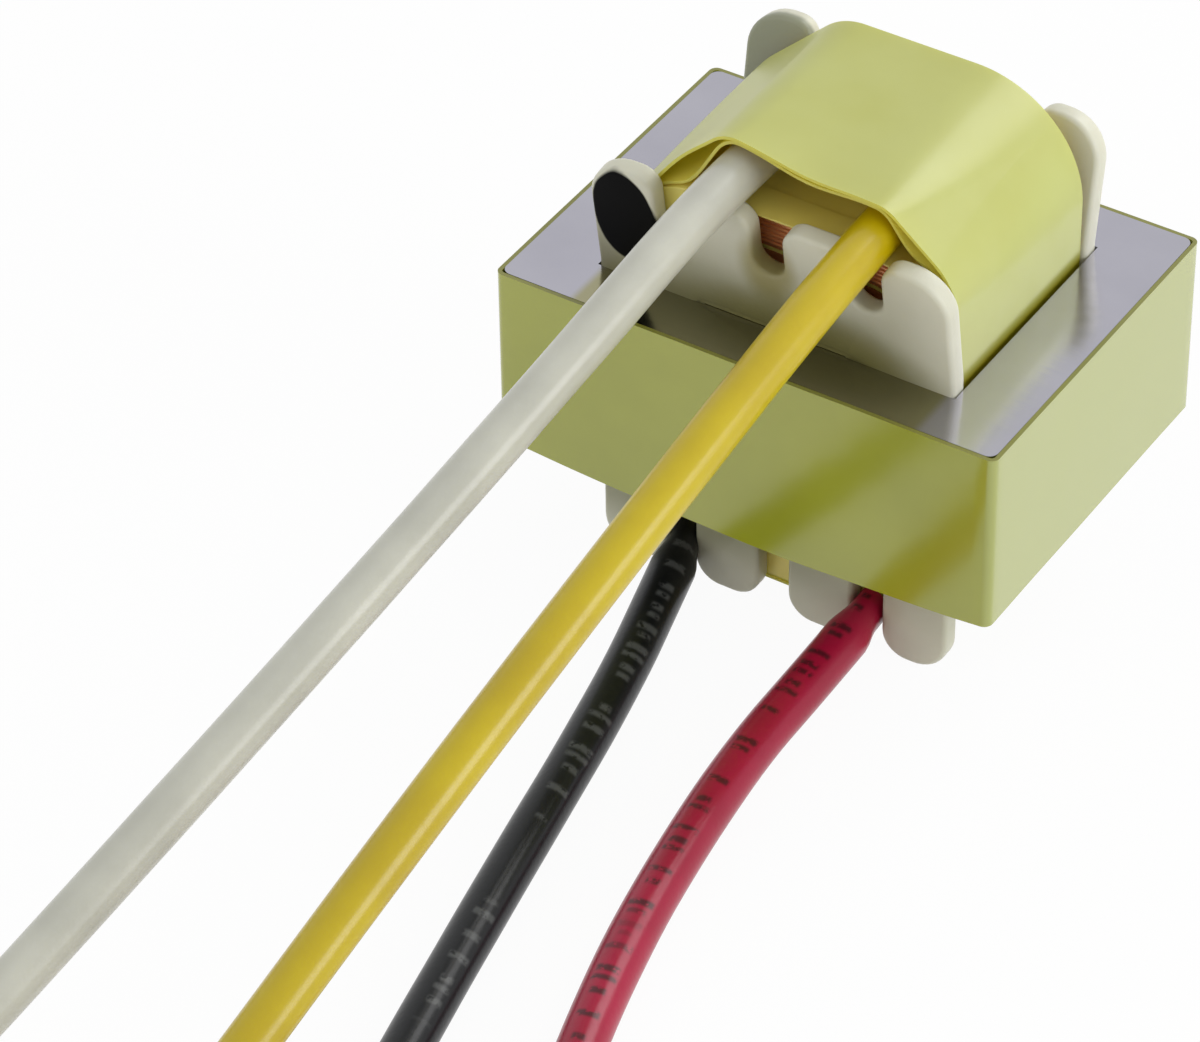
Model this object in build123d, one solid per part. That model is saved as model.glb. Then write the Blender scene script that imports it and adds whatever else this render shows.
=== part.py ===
from build123d import *
import math
import os

# A small audio transformer: an E-I laminated core in a band of tape, a moulded bobbin
# with two windings, and four flying leads.
# Millimetres. X runs along the core, Y towards its back, Z up.
# The origin is under the middle of the core, on the surface that the lobes stand on.

# Laminations
core_length = 14.0
tongue_width = 4.0
leg_width = 1.9
yoke_width = 1.5
window_length = 7.1
sheet_thickness = 0.35
sheet_count = 15
core_corner = 0.25

# Tape round the core
core_tape = 0.1
core_tape_margin = 0.05

# Bobbin
tube_wall = 0.5
tube_corner = 0.3
tongue_clearance = 0.05
flange_thickness = 0.55
flange_end_clearance = 0.05
flange_side_clearance = 0.1
lobe_count = 4
lobe_rise = 3.7
lobe_flat = 0.2
lobe_inner_radius = 0.55
lobe_splay = 9.0
notch_width = 0.88
notch_floor = 2.0
foot_inner_radius = 0.72
foot_notch_floor = 1.5

# Coil: what lies between the tube and the outer tape
layer_gap = 0.02
coil_end_gap = 0.05
winding_tape = 0.1
primary_build_side = 1.05
primary_build_top = 1.25
coil_tape = 0.15
coil_tape_setback = 0.05
lobe_cover = 0.5

# Outer tape on top of the coil, where it is stretched over two leads
tape_slack = 0.22
tape_reach = 0.5
front_left_reach = 0.4
front_right_reach = 0.34
front_fall = 0.48
front_fold_radius = 0.9
front_left_drop = 3.1
front_left_radius = 2.6
front_right_drop = 2.1
front_right_radius = 1.6
rear_left_reach = 2.5
rear_left_drop = 2.3
rear_left_radius = 3.2
rear_right_radius = 3.1

# Leads: insulated wire with stripped, tinned ends
lead_diameter = 1.2
strand_diameter = 0.42
tip_length = 4.0
splice_neck = 0.4
splice_length = 1.5
splice_diameter = 0.56
splice_clearance = 0.04
arc_share = 0.45
floor_gap = 0.02
coil_seat_gap = 0.05
lobe_hump = 0.21
notch_sink = 0.33
exit_drop = 2.7
exit_step = 0.15
white_place = -1.15
yellow_lean = 0.12

# Core places
stack_height = sheet_thickness * sheet_count
core_depth = window_length + 2 * yoke_width
core_bottom = lobe_rise
core_top = core_bottom + stack_height
core_middle = core_bottom + stack_height / 2
window_outer = core_length / 2 - leg_width
half_window = window_length / 2

# Bobbin places
bore_half_width = tongue_width / 2 + tongue_clearance
bore_half_height = stack_height / 2 + tongue_clearance
tube_half_width = bore_half_width + tube_wall
tube_half_height = bore_half_height + tube_wall
flange_half_width = window_outer - flange_side_clearance
flange_outer = half_window - flange_end_clearance
flange_inner = flange_outer - flange_thickness
lobe_width = (2 * flange_half_width - (lobe_count - 1) * notch_width) / lobe_count
notch_pitch = lobe_width + notch_width

# Coil places, as half widths along X and half heights along Z from the middle of the core
coil_end = flange_inner - coil_end_gap
coil_half_width = flange_half_width - coil_tape_setback
coil_rise = lobe_rise - lobe_cover
inner_tape_half_width = coil_half_width - coil_tape - layer_gap
inner_tape_half_height = stack_height / 2 + coil_rise
belly_half_height = inner_tape_half_height + layer_gap + coil_tape
crown_front = core_top + lobe_rise + lead_diameter + coil_tape + tape_slack
crown_rear = core_top + coil_rise + lead_diameter + coil_tape + tape_slack

# Heights of the leads' middles: on the floor, on the coil, over a lobe, in a notch, and out of the bottom
on_floor = lead_diameter / 2 + floor_gap
on_coil = core_top + coil_rise + lead_diameter / 2 + coil_seat_gap
over_lobe = core_top + lobe_rise + lead_diameter / 2 + lobe_hump
over_notch = core_top + lobe_rise + lead_diameter / 2 - notch_sink
lower_exit = core_bottom - exit_drop
yellow_place = notch_pitch - yellow_lean / 2

# Routes of the leads, from the end under the coil tape to the stripped end
white_route = [
    (white_place, 0.90, on_coil),
    (white_place, -3.25, over_lobe),
    (-1.55, -11.00, 11.75),
    (-3.10, -22.00, 8.15),
    (-5.30, -33.60, 3.75),
    (-6.90, -41.50, 0.95),
    (-8.00, -47.50, on_floor),
]
yellow_route = [
    (notch_pitch - yellow_lean, 0.90, on_coil),
    (yellow_place, -3.25, over_notch),
    (2.42, -10.40, 11.40),
    (1.85, -21.40, 8.25),
    (0.85, -32.80, 3.70),
    (0.05, -40.60, 0.95),
    (-0.50, -46.60, on_floor),
]
black_route = [
    (-notch_pitch, -flange_inner - exit_step, lower_exit),
    (-2.30, -4.90, 0.82),
    (-1.25, -9.00, on_floor),
    (0.35, -17.50, on_floor),
    (2.30, -26.80, on_floor),
    (5.30, -36.50, on_floor),
    (6.60, -47.20, on_floor),
]
red_route = [
    (notch_pitch, -flange_inner - exit_step, lower_exit),
    (2.72, -5.30, 0.82),
    (2.70, -10.20, on_floor),
    (4.10, -18.30, on_floor),
    (7.60, -28.20, on_floor),
    (10.60, -37.40, on_floor),
    (11.60, -46.40, on_floor),
]


def across(sketch, y_low, y_high):
    """Solid of a sketch drawn in X and Z, between two depths."""
    return extrude(Plane.XZ.offset(-y_high) * sketch, y_high - y_low)


def plate(sketch, z_low, thickness):
    """Solid of a sketch drawn in X and Y, on a height."""
    return Pos(0, 0, z_low) * extrude(sketch, thickness)


def e_lamination(z_low, yoke_side):
    """One E stamping, with its yoke at the front (-1) or at the back (+1)."""
    depth = yoke_width + window_length
    sheet = Rectangle(core_length, depth)
    window_width = window_outer - tongue_width / 2
    window_centre = (window_outer + tongue_width / 2) / 2
    for side in (-1, 1):
        sheet -= Pos(side * window_centre, yoke_width / 2) * Rectangle(window_width, window_length)
    sheet = fillet(sheet.vertices().group_by(Axis.Y)[0], core_corner)
    sheet = Pos(0, -yoke_width / 2) * sheet
    if yoke_side > 0:
        sheet = mirror(sheet, Plane.XZ)
    return plate(sheet, z_low, sheet_thickness)


def i_lamination(z_low, side):
    """One I stamping, closing the open side of its E."""
    sheet = Rectangle(core_length, yoke_width)
    outer = sheet.vertices().group_by(Axis.Y)[0 if side < 0 else -1]
    sheet = fillet(outer, core_corner)
    return plate(Pos(0, side * (half_window + yoke_width / 2)) * sheet, z_low, sheet_thickness)


def core_band():
    """Tape round the edges of the stack, a little narrower than the stack is high."""
    inner = RectangleRounded(core_length + 2 * layer_gap, core_depth + 2 * layer_gap, core_corner)
    grow = 2 * (layer_gap + core_tape)
    outer = RectangleRounded(core_length + grow, core_depth + grow, core_corner + core_tape)
    return plate(outer - inner, core_bottom + core_tape_margin, stack_height - 2 * core_tape_margin)


def flange_outline():
    """Flange face: four rounded lobes and three notches above the core, and again below."""
    half_height = stack_height / 2 + lobe_rise
    face = Rectangle(2 * flange_half_width, 2 * half_height)
    for end, floor in ((-1, foot_notch_floor), (1, notch_floor)):
        slot = SlotOverall(2 * (lobe_rise - floor), notch_width, rotation=90)
        for notch in range(1, lobe_count):
            place = (notch - lobe_count / 2) * notch_pitch
            face -= Pos(place, end * half_height) * slot
    for row, radius in ((0, foot_inner_radius), (-1, lobe_inner_radius)):
        face = fillet(lobe_ends(face, row)[1:-1], radius)
        corners = lobe_ends(face, row)
        face = fillet([corners[0], corners[-1]], lobe_width - radius - lobe_flat)
    return Pos(0, core_middle) * face


def lobe_ends(face, row):
    """Corners along the bottom (0) or the top (-1) of a flange face, from left to right."""
    return face.vertices().group_by(Axis.Y)[row].sort_by(Axis.X)


def rear_flange():
    """Flange at the back: flat beside the core, with the lobes above it leaning outwards."""
    face = flange_outline()
    above = Pos(0, core_top + lobe_rise / 2) * Rectangle(2 * flange_half_width, lobe_rise)
    flat = across(face - above, flange_inner, flange_outer)
    lobes = across(face & above, flange_inner, flange_outer)
    hinge = Axis((0, flange_inner, core_top), (1, 0, 0))
    return flat + lobes.rotate(hinge, -lobe_splay)


def bobbin():
    """Moulded tube that the tongue passes through, with a flange at each end."""
    tube = RectangleRounded(2 * tube_half_width, 2 * tube_half_height, tube_corner)
    bore = Rectangle(2 * bore_half_width, 2 * bore_half_height)
    body = across(Pos(0, core_middle) * tube, -flange_outer, flange_outer)
    rear = rear_flange()
    body += rear
    body += mirror(rear, Plane.XZ)
    return body - across(Pos(0, core_middle) * bore, -half_window, half_window)


def grown(outline, side, top):
    """Outline of a coil layer, as (half width, half height), moved outwards."""
    return (outline[0] + side, outline[1] + top)


def ring(inner, outer, corner):
    """Closed layer of the coil between two rounded outlines."""
    thickness = outer[0] - inner[0]
    hole = RectangleRounded(2 * inner[0], 2 * inner[1], corner)
    edge = RectangleRounded(2 * outer[0], 2 * outer[1], corner + thickness)
    return across(Pos(0, core_middle) * (edge - hole), -coil_end, coil_end)


def coil_layers():
    """Windings and tapes from the tube outwards, and the corner radius of the last one."""
    primary = grown(
        (tube_half_width, tube_half_height),
        layer_gap + primary_build_side,
        layer_gap + primary_build_top,
    )
    between = grown(primary, layer_gap + winding_tape, layer_gap + winding_tape)
    wound = (inner_tape_half_width, inner_tape_half_height)
    secondary = grown(wound, -layer_gap - winding_tape, -layer_gap - winding_tape)
    outlines = {
        "primary_winding": primary,
        "interwinding_tape": between,
        "secondary_winding": secondary,
        "inner_coil_tape": wound,
    }
    layers = {}
    last = (tube_half_width, tube_half_height)
    corner = tube_corner
    for name, outline in outlines.items():
        start = grown(last, layer_gap, layer_gap)
        layers[name] = ring(start, outline, corner + layer_gap)
        corner += outline[0] - last[0]
        last = outline
    return layers, corner


def tape_face(corners, radii, inset, y):
    """Face inside an outline of X and Z, moved inwards, with its own radius at each corner."""
    points = [Vector(*corner) for corner in corners]
    moved = []
    for before, here, after in zip(points[-1:] + points[:-1], points, points[1:] + points[:1]):
        arriving = (here - before).normalized()
        leaving = (after - here).normalized()
        first = Vector(-arriving.Y, arriving.X)
        second = Vector(-leaving.Y, leaving.X)
        moved.append(here + (first + second) * (inset / (1 + first.dot(second))))
    outline = FilletPolyline(*moved, radius=[radius - inset for radius in radii], close=True)
    return Plane.XZ.offset(-y) * make_face(outline)


def tape_block(belly_radius, inset):
    """Space inside the outer tape: rounded at the rear, stretched over two leads at the front."""
    side = coil_half_width
    belly = core_middle - belly_half_height
    rear_right_cut = rear_right_radius * (1 - math.tan(math.pi / 8))
    front = [
        (side, belly),
        (side, crown_front - front_right_drop),
        (yellow_place + front_right_reach, crown_front - front_fall),
        (white_place - front_left_reach, crown_front),
        (-side, crown_front - front_left_drop),
        (-side, belly),
    ]
    front_radii = [
        belly_radius,
        front_right_radius,
        front_fold_radius,
        front_fold_radius,
        front_left_radius,
        belly_radius,
    ]
    rear = [
        (side, belly),
        (side, crown_rear - rear_right_cut),
        (side - rear_right_cut, crown_rear),
        (rear_left_reach - side, crown_rear),
        (-side, crown_rear - rear_left_drop),
        (-side, belly),
    ]
    rear_radii = [
        belly_radius,
        rear_right_radius,
        rear_right_radius,
        rear_left_radius,
        rear_left_radius,
        belly_radius,
    ]
    front_face = tape_face(front, front_radii, inset, -coil_end - tape_reach)
    rear_face = tape_face(rear, rear_radii, inset, coil_end)
    return loft([front_face, rear_face], ruled=True)


def before_coil():
    """Space before the coil, back to the front flange and along its leaning lobes."""
    lean_top = core_top + tape_reach / math.tan(math.radians(lobe_splay))
    outline = Polyline(
        (-coil_end, -core_top),
        (-coil_end, core_top),
        (-coil_end - tape_reach, lean_top),
        (-coil_end - 2 * tape_reach, lean_top),
        (-coil_end - 2 * tape_reach, -core_top),
        close=True,
    )
    return extrude(Plane.YZ * make_face(outline), core_length, both=True)


def coil_band(inner_corner):
    """Outer tape round the coil, with its front edge along the flange."""
    belly_radius = inner_corner + layer_gap + coil_tape
    band = tape_block(belly_radius, 0) - tape_block(belly_radius, coil_tape)
    return band - before_coil()


def lead_path(name, route):
    """Straight runs joined by arcs as large as the runs allow."""
    points = [Vector(*point) for point in route]
    radii = []
    for before, here, after in zip(points, points[1:], points[2:]):
        turn = (here - before).get_angle(after - here)
        shorter = min((here - before).length, (after - here).length)
        radii.append(arc_share * shorter / math.tan(math.radians(turn) / 2))
    path = FilletPolyline(*points, radius=radii)
    print(name, "length", round(path.length, 2), "radii", [round(radius, 1) for radius in radii])
    return path


def lead_plane(path, end):
    """Plane across a lead at its coil end (0) or its free end (1), facing away from the lead."""
    outwards = path % end
    if end == 0:
        outwards = -outwards
    return Plane(origin=path @ end, x_dir=(1, 0, 0), z_dir=outwards)


def insulation(name, path):
    """Insulated length of a lead."""
    tube = sweep(lead_plane(path, 0) * Circle(lead_diameter / 2), path)
    section = math.pi * lead_diameter**2 / 4
    print(name, "volume over section times length", round(tube.volume / (section * path.length), 4))
    return tube


def tip(path):
    """Stripped and tinned strands at the free end."""
    return extrude(lead_plane(path, 1) * Circle(strand_diameter / 2), tip_length)


def splice(path):
    """Stripped strands at the coil end, with a bead of solder that holds the winding's end."""
    start = lead_plane(path, 0)
    neck = extrude(start * Circle(strand_diameter / 2), splice_neck)
    bead = extrude(start.offset(splice_neck) * Circle(splice_diameter / 2), splice_length - splice_neck)
    return neck + bead


def splice_groove(path):
    """Groove in the outer turns for a splice, open towards the tape under the coil."""
    radius = splice_diameter / 2 + splice_clearance
    mouth = Pos(0, coil_rise / 2) * Rectangle(2 * radius, coil_rise)
    return extrude(lead_plane(path, 0) * (Circle(radius) + mouth), splice_length + splice_clearance)


nodes = {}
for sheet in range(sheet_count):
    yoke_side = -1 if sheet % 2 == 0 else 1
    height = core_bottom + sheet * sheet_thickness
    nodes[f"e_lamination_{sheet + 1:02d}"] = e_lamination(height, yoke_side)
    nodes[f"i_lamination_{sheet + 1:02d}"] = i_lamination(height, -yoke_side)
nodes["core_tape"] = core_band()
nodes["bobbin"] = bobbin()

layers, coil_corner = coil_layers()
nodes.update(layers)
nodes["coil_tape"] = coil_band(coil_corner)

routes = {"white": white_route, "yellow": yellow_route, "black": black_route, "red": red_route}
for colour, route in routes.items():
    path = lead_path(colour, route)
    nodes[f"lead_{colour}"] = insulation(colour, path)
    nodes[f"tip_{colour}"] = tip(path)
    nodes[f"splice_{colour}"] = splice(path)
    if colour in ("black", "red"):
        nodes[f"lead_{colour}"] -= nodes["bobbin"]
        nodes["secondary_winding"] -= splice_groove(path)

os.makedirs("parts", exist_ok=True)
for name, solid in nodes.items():
    export_step(solid, f"parts/{name}.step")
print(len(nodes), "nodes")
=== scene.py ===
# %% [markdown]
# # A small audio transformer, dressed in Blender
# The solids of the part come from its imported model: an E-I core, a moulded bobbin, windings and four leads.
# This lesson keeps those solids as a fixed frame and gives each one its finish. Where a solid is too plain
# for a close look, a finer piece takes its place: tape that lifts over the leads, soft plastic edges, or
# strands of wire.

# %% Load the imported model
import math

import bmesh
import bpy
from mathutils import Euler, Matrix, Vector, noise


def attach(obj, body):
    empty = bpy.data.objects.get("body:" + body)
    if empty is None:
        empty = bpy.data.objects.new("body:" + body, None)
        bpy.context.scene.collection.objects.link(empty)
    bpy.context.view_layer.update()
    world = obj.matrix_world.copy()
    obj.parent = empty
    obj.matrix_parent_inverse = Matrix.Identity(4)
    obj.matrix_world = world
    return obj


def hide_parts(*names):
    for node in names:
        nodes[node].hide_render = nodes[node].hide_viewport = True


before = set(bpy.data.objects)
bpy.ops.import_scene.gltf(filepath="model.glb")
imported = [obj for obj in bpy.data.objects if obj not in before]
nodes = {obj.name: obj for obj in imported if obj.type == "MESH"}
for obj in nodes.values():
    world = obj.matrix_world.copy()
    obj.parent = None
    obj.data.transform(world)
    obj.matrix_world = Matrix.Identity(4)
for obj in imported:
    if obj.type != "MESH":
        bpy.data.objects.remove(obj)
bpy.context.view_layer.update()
MM = 0.001

# %% [markdown]
# ## The camera
# A product picture of something this small is taken with a long lens from close by. The camera stands to
# the right of the leads and looks down at about forty degrees. Its turn is written as plain angles, so that
# a reader can change it: first round the object, then down, then a slight roll of the picture.

# %% Camera
camera_place = Vector((56.05, -97.06, 94.05)) * MM
camera_azimuth = math.radians(33.211)
camera_elevation = math.radians(39.898)
camera_roll = math.radians(-0.919)
lens_length = 169.66
sensor_width = 36.0


def add_camera():
    """Camera at the picture's own viewpoint."""
    data = bpy.data.cameras.new("picture_camera")
    data.lens = lens_length
    data.sensor_width = sensor_width
    data.clip_start = 1 * MM
    data.clip_end = 10
    camera = bpy.data.objects.new("picture_camera", data)
    turn = Euler((0, 0, camera_azimuth)).to_matrix()
    tilt = Euler((math.pi / 2 - camera_elevation, 0, 0)).to_matrix()
    roll = Euler((0, 0, camera_roll)).to_matrix()
    camera.matrix_world = (turn @ tilt @ roll).to_4x4()
    camera.location = camera_place
    bpy.context.scene.collection.objects.link(camera)
    bpy.context.scene.camera = camera
    return camera


camera = add_camera()
print("camera distance in mm", round(camera.location.length / MM, 1))

# %% [markdown]
# ## Shader maths as plain Python
# A material is a graph of nodes, and long graphs are hard to read as code. One small class wraps a socket,
# so that `1 - mask` or `noise * 0.2 + 0.4` adds the Math nodes by itself. Other nodes come from `node()`.

# %% Sockets that can be calculated with


def fill_sockets(tree, sockets, values):
    """Sets or links input sockets, each by its name or number."""
    for key, value in values.items():
        source = value.socket if isinstance(value, Shade) else value
        if isinstance(source, bpy.types.NodeSocket):
            tree.links.new(source, sockets[key])
        else:
            sockets[key].default_value = source


class Shade:
    """A shader socket that takes part in plain arithmetic, or the empty start of a node tree."""

    def __init__(self, tree, socket=None):
        self.tree = tree
        self.socket = socket

    def node(self, kind, inputs=None, output=0, **settings):
        """Any node by its type: settings first, then values or links for its sockets."""
        made = self.tree.nodes.new("ShaderNode" + kind)
        for name, value in settings.items():
            setattr(made, name, value)
        fill_sockets(self.tree, made.inputs, inputs or {})
        return Shade(self.tree, made.outputs[output])

    def math(self, operation, *values):
        """A Math node on this and other values."""
        return self.node("Math", dict(enumerate(values)), operation=operation)

    def mix(self, low, high):
        """Colour between two colours, with this value as the share of the second."""
        return self.node("Mix", {0: self, 6: low, 7: high}, output=2, data_type="RGBA")

    def band(self, low, high, soft):
        """1 where this value lies between two limits, with soft edges."""
        return self.step(low, soft) * (1 - self.step(high, soft))

    def step(self, edge, soft):
        """0 below an edge and 1 above it, over a soft width."""
        inputs = {"Value": self, "From Min": edge - soft, "From Max": edge + soft}
        return self.node("MapRange", inputs, interpolation_type="SMOOTHSTEP")

    def axis(self, name):
        """One axis of this vector."""
        return self.node("SeparateXYZ", {0: self}, output="XYZ".index(name))

    def __add__(self, other):
        return self.math("ADD", self, other)

    def __sub__(self, other):
        return self.math("SUBTRACT", self, other)

    def __rsub__(self, other):
        return self.math("SUBTRACT", other, self)

    def __mul__(self, other):
        return self.math("MULTIPLY", self, other)

    def __truediv__(self, other):
        return self.math("DIVIDE", self, other)

    __radd__ = __add__
    __rmul__ = __mul__


print("shader maths ready")

# %% Helpers for finishes


def colour(red, green, blue):
    """A colour given as on screen, from 0 to 255, made linear for a shader socket."""
    shares = [value / 255 for value in (red, green, blue)]
    linear = [share / 12.92 if share <= 0.04045 else ((share + 0.055) / 1.055) ** 2.4 for share in shares]
    return (*linear, 1.0)


def start_finish(name):
    """A new material: its empty node tree as a Shade, its surface shader, and itself."""
    material = bpy.data.materials.new(name)
    material.use_nodes = True
    tree = material.node_tree
    return Shade(tree), tree.nodes["Principled BSDF"], material


def feed(shader, **sockets):
    """Sets or links the surface shader's sockets, with _ for a space in a name."""
    values = {name.replace("_", " "): value for name, value in sockets.items()}
    fill_sockets(shader.id_data, shader.inputs, values)


def blend(shade, share, first, second):
    """Makes a mix of two shaders the material's surface."""
    mixed = shade.node("MixShader", {0: share, 1: first, 2: second})
    shade.tree.links.new(mixed.socket, shade.tree.nodes["Material Output"].inputs["Surface"])


def grain(shade, place, size_mm, detail=2.0, stretch=(1, 1, 1)):
    """Noise from 0 to 1 with spots of about one size, stretched along the axes."""
    scaled = shade.node("Mapping", {"Vector": place, "Scale": stretch})
    return shade.node("TexNoise", {"Vector": scaled, "Scale": 1 / (size_mm * MM), "Detail": detail})


def relief(shade, height, depth_mm):
    """Normal of a surface that a height field from 0 to 1 lifts by a depth."""
    return shade.node("Bump", {"Height": height, "Distance": depth_mm * MM, "Strength": 1.0})


def object_place(shade):
    """Place on the piece, in metres in the part's own frame."""
    return shade.node("TexCoord", output=3)


print("finish helpers ready")

# %% [markdown]
# ## Insulation for the leads
# PVC insulation is soft, slightly cloudy plastic with a satin skin. Each tube carries its own UV map: once
# round for U, and metres along the lead for V. Two of the leads carry a row of small ink strokes. They
# stand for print, and spell nothing. A picture could hold them, but bars worked out from the map stay
# sharp.

# %% Ink strokes
lead_map = "lead_map"
stroke_pitch = 0.78 * MM
stroke_band = 0.2
# Each bar of a cell: where it starts and ends, its seed, and how often it is missing.
stroke_bars = ((0.14, 0.42, 0.0, 0.15), (0.58, 0.8, 31.5, 0.35))
height_seed = 71.5
word_length = 9.0


def random_value(seed):
    """A random value from 0 to 1 that belongs to a seed."""
    return seed.node("TexWhiteNoise", {"W": seed}, noise_dimensions="1D")


def ink_strokes(shade, middle, speck, first):
    """Mask of short bars of uneven height along a line on the lead, some missing and some worn."""
    along = shade.node("UVMap", uv_map=lead_map)
    run = along.axis("Y") / stroke_pitch + first
    cell = run.math("FLOOR", run)
    within = run - cell
    across = (along.axis("X") - middle) / (stroke_band / 2)
    off_line = across.math("ABSOLUTE", across)
    strokes = None
    for low, high, seed, missing in stroke_bars:
        present = random_value(cell + seed).step(missing, 0.001)
        height = random_value(cell + seed + height_seed) * 0.55 + 0.4
        bar = within.band(low, high, 0.08) * (height - off_line).step(0.0, 0.15) * present
        strokes = bar if strokes is None else strokes.math("MAXIMUM", strokes, bar)
    word_noise = {"W": run / word_length, "Scale": 1.0, "Detail": 0.0}
    word = shade.node("TexNoise", word_noise, noise_dimensions="1D")
    return strokes * word.step(0.42, 0.02) * speck.step(0.4, 0.12)


print("bars in a cell", len(stroke_bars), "pitch in mm", round(stroke_pitch / MM, 2))

# %% Insulation finishes


def insulation_finish(name, body, shadow, skin, ink=None, middle=0.0, first=0.0):
    """PVC in two close shades, with a row of printed strokes along a middle line if an ink is given."""
    shade, shader, material = start_finish(name)
    place = object_place(shade)
    cloud = grain(shade, place, size_mm=2.4, detail=3.0)
    speck = grain(shade, place, size_mm=0.16)
    tone = cloud.step(0.5, 0.22).mix(body, shadow)
    if ink:
        tone = ink_strokes(shade, middle, speck, first).mix(tone, ink)
    feed(
        shader,
        Base_Color=tone,
        Roughness=speck * 0.12 + 0.26,
        Normal=relief(shade, speck * 0.6 + cloud * 0.4, depth_mm=0.008),
        Specular_IOR_Level=skin,
        Subsurface_Weight=0.18,
        Subsurface_Radius=(0.4 * MM, 0.4 * MM, 0.3 * MM),
        Subsurface_Scale=1.0,
        Coat_Weight=skin,
        Coat_Roughness=0.2,
    )
    return material


insulation = {
    "white": insulation_finish("white_insulation", colour(204, 204, 191), colour(190, 190, 178), skin=0.3),
    "yellow": insulation_finish("yellow_insulation", colour(200, 178, 4), colour(188, 164, 2), skin=0.35),
}
black_print = {"ink": colour(74, 76, 76), "middle": 0.57, "first": 4.0}
red_print = {"ink": colour(84, 12, 30), "middle": 0.5, "first": 57.3}
insulation["black"] = insulation_finish(
    "black_insulation", colour(12, 14, 17), colour(18, 20, 23), skin=0.2, **black_print
)
insulation["red"] = insulation_finish(
    "red_insulation", colour(168, 14, 58), colour(156, 11, 50), skin=0.25, **red_print
)
print("insulation finishes", sorted(insulation))

# %% [markdown]
# ## Tinned wire
# The stripped ends are strands that were twisted and dipped in solder, so they are bright but not like a
# mirror. One noise makes the dull patches in colour, roughness and relief alike.

# %% Tinned wire finish


def tinned_finish():
    """Solder-coated copper: bright, with dull patches."""
    shade, shader, material = start_finish("tinned_wire")
    patch = grain(shade, object_place(shade), size_mm=0.35, detail=3.0)
    feed(
        shader,
        Base_Color=patch.mix(colour(206, 205, 200), colour(170, 168, 160)),
        Roughness=patch * 0.3 + 0.22,
        Metallic=1.0,
        Normal=relief(shade, patch, depth_mm=0.01),
    )
    return material


tinned = tinned_finish()
print("tinned wire finish ready")

# %% [markdown]
# ## The four leads
# A lead is a fixed length of wire, so its line comes first. Its route is the one that the solids follow: a
# few points, and a NURBS curve that runs smoothly past them. Blender turns that curve, without a bevel,
# into a chain of points, and a tube is skinned round the chain. A plain curve bevel would be quicker, but
# the tube is squeezed where the two lower leads pass the bobbin's notches, and it needs a map along its
# length.

# %% Routes of the leads
lead_diameter = 1.2 * MM
# Points in millimetres, from the coil to the free end.
lead_routes = {
    "white": [
        (-1.15, 0.90, 12.80),
        (-1.15, -3.25, 13.46),
        (-1.55, -11.00, 11.75),
        (-3.10, -22.00, 8.15),
        (-5.30, -33.60, 3.75),
        (-6.90, -41.50, 0.95),
        (-8.00, -47.50, 0.62),
    ],
    "yellow": [
        (2.60, 0.90, 12.80),
        (2.66, -3.25, 12.92),
        (2.42, -10.40, 11.40),
        (1.85, -21.40, 8.25),
        (0.85, -32.80, 3.70),
        (0.05, -40.60, 0.95),
        (-0.50, -46.60, 0.62),
    ],
    "black": [
        (-2.72, -3.10, 1.00),
        (-2.30, -4.90, 0.82),
        (-1.25, -9.00, 0.62),
        (0.35, -17.50, 0.62),
        (2.30, -26.80, 0.62),
        (5.30, -36.50, 0.62),
        (6.60, -47.20, 0.62),
    ],
    "red": [
        (2.72, -3.10, 1.00),
        (2.72, -5.30, 0.82),
        (2.70, -10.20, 0.62),
        (4.10, -18.30, 0.62),
        (7.60, -28.20, 0.62),
        (10.60, -37.40, 0.62),
        (11.60, -46.40, 0.62),
    ],
}
route_steps = 14


def curve_mesh(name, curve):
    """The plain mesh of a curve, which is removed."""
    holder = bpy.data.objects.new(name, curve)
    mesh = bpy.data.meshes.new_from_object(holder)
    bpy.data.objects.remove(holder)
    bpy.data.curves.remove(curve)
    return mesh


def lead_line(name, route):
    """Points along the smooth line of a lead, read from its NURBS curve."""
    curve = bpy.data.curves.new(name + "_line", "CURVE")
    curve.dimensions = "3D"
    curve.resolution_u = route_steps
    spline = curve.splines.new("NURBS")
    spline.points.add(len(route) - 1)
    for point, place in zip(spline.points, route):
        point.co = (*(Vector(place) * MM), 1.0)
    spline.order_u = 3
    spline.use_endpoint_u = True
    mesh = curve_mesh(name + "_line", curve)
    line = [vertex.co.copy() for vertex in mesh.vertices]
    bpy.data.meshes.remove(mesh)
    return line


lines = {name: lead_line(name, route) for name, route in lead_routes.items()}
for name, line in lines.items():
    length = sum((after - before).length for before, after in zip(line, line[1:]))
    print(name, "lead:", len(line), "points,", round(length / MM, 2), "mm")

# %% [markdown]
# ## Skinning a tube
# Rings of points round the line are joined into quads. A ring is turned by the world's up direction, which
# is safe because no lead runs straight up. The end at the coil is closed flat, and the free end has a soft
# rim.

# %% Helpers for pieces


def add_piece(name, mesh, *materials):
    """A new piece in the scene that keeps its place in its mesh and rides on the part's only body."""
    piece = bpy.data.objects.new(name, mesh)
    for material in materials:
        mesh.materials.append(material)
    bpy.context.scene.collection.objects.link(piece)
    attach(piece, "root")
    return piece


def plain_mesh(name, shape):
    """The mesh of a worked shape, which is freed."""
    mesh = bpy.data.meshes.new(name)
    shape.to_mesh(mesh)
    shape.free()
    return mesh


def smooth(mesh, sharp_degrees):
    """Smooth shading with sharp edges kept."""
    mesh.shade_smooth()
    mesh.set_sharp_from_angle(angle=math.radians(sharp_degrees))


print("piece helpers ready")

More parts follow.
